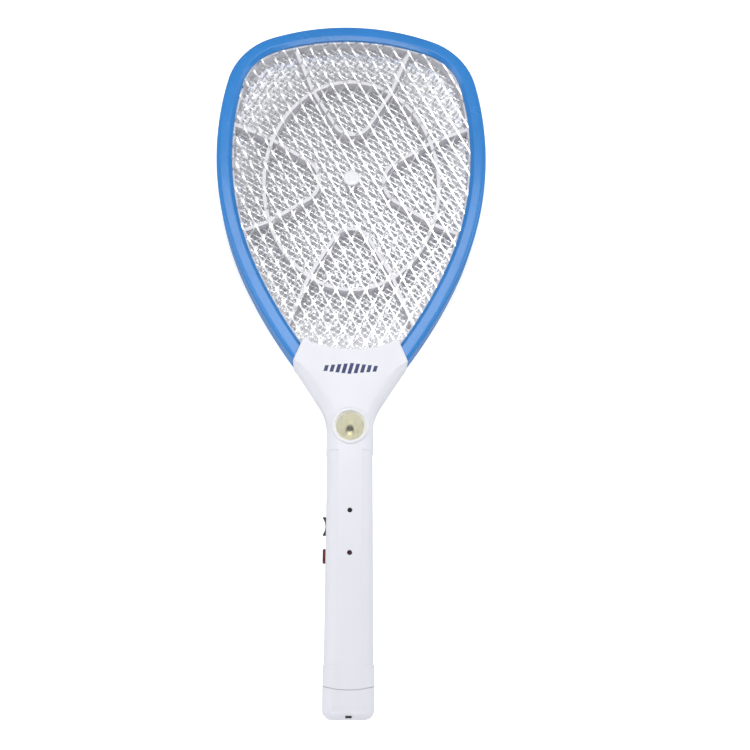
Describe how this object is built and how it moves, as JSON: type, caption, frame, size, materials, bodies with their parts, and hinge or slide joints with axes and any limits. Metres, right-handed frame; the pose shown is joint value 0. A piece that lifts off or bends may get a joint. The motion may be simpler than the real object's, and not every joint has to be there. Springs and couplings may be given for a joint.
{
  "type": "electric fly swatter",
  "caption": "Racket-shaped electric fly swatter with three metal meshes in a blue frame, a white battery handle, a torch, a rocker and a push button.",
  "frame": {"origin": "on the surface it lies on, under the middle of its length and width", "axes": "+Z out of the front face, with the torch; +Y towards the top of the head; +X to the right seen from the front"},
  "size_m": [0.192, 0.49, 0.0294],
  "materials": {
    "blue_frame": "glossy moulded ABS",
    "white_net_support": "satin moulded plastic",
    "guard_mesh": "bright expanded aluminium sheet",
    "centre_mesh": "expanded aluminium sheet",
    "white_rivet": "smooth moulded plastic",
    "brass": "plain brass",
    "screw_steel": "zinc-plated steel",
    "white_shell": "satin moulded ABS",
    "inner_white": "plain moulded plastic",
    "rocker_black": "smooth black plastic",
    "switch_black": "plain black plastic",
    "button_red": "dark red translucent-looking plastic",
    "spring_steel": "drawn wire",
    "clear_lens": "clear polished plastic",
    "reflector": "metallised plastic",
    "led_resin": "cast resin",
    "indicator_resin": "dark red cast resin",
    "board": "green solder resist",
    "ferrite": "sintered ferrite",
    "winding": "enamelled copper wire",
    "component": "dipped epoxy",
    "component_black": "moulded epoxy",
    "battery_case": "moulded case",
    "wire_red": "PVC insulation",
    "wire_black": "PVC insulation",
    "wire_green": "PVC insulation",
    "wire_white": "PVC insulation"
  },
  "bodies": {
    "swatter": {"front_frame": "blue_frame", "back_frame": "blue_frame", "front_spider": "white_net_support", "back_spider": "white_net_support", "front_guard_mesh": "guard_mesh", "back_guard_mesh": "guard_mesh", "hv_mesh": "centre_mesh", "centre_rivet": "white_rivet", "centre_rivet_cap": "white_rivet", "centre_spacers": "white_net_support", "mesh_contacts": "brass", "frame_screws": "screw_steel", "front_housing": "white_shell", "back_housing": "white_shell", "housing_screws": "screw_steel", "plug_base": "inner_white", "plug_pins": "brass", "rocker_pin": "screw_steel", "rocker_switch_body": "switch_black", "button_spring": "spring_steel", "button_switch": "switch_black", "torch_bezel": "white_rivet", "torch_lens": "clear_lens", "torch_reflector": "reflector", "torch_led": "led_resin", "power_led": "indicator_resin", "charge_led": "indicator_resin", "circuit_board": "board", "transformer_core": "ferrite", "transformer_winding": "winding", "hv_capacitor": "component", "charge_capacitor": "component", "diodes": "component_black", "resistors": "component", "transistor": "component_black", "battery": "battery_case", "battery_terminals": "brass", "battery_leads": "wire_red", "charge_leads": "wire_black", "torch_leads": "wire_white", "hv_lead": "wire_black", "guard_leads": "wire_green"},
    "rocker": {"rocker": "rocker_black"},
    "push_button": {"push_button": "button_red"},
    "end_cap": {"end_cap": "white_shell"}
  },
  "joints": [
    {"name": "rocker_tilt", "type": "hinge", "parent": "swatter", "child": "rocker", "pos_m": [-0.0116, -0.1229, 0.014], "axis": [0, 0, 1], "range_deg": [-7, 7]},
    {"name": "button_press", "type": "slide", "parent": "swatter", "child": "push_button", "axis": [1, 0, 0], "range_m": [0, 0.0015], "stiffness_N_per_m": 400, "springref_m": -0.001, "deforming": ["button_spring"]},
    {"name": "cap_pull", "type": "slide", "parent": "swatter", "child": "end_cap", "axis": [0, -1, 0], "range_m": [0, 0.04]}
  ]
}
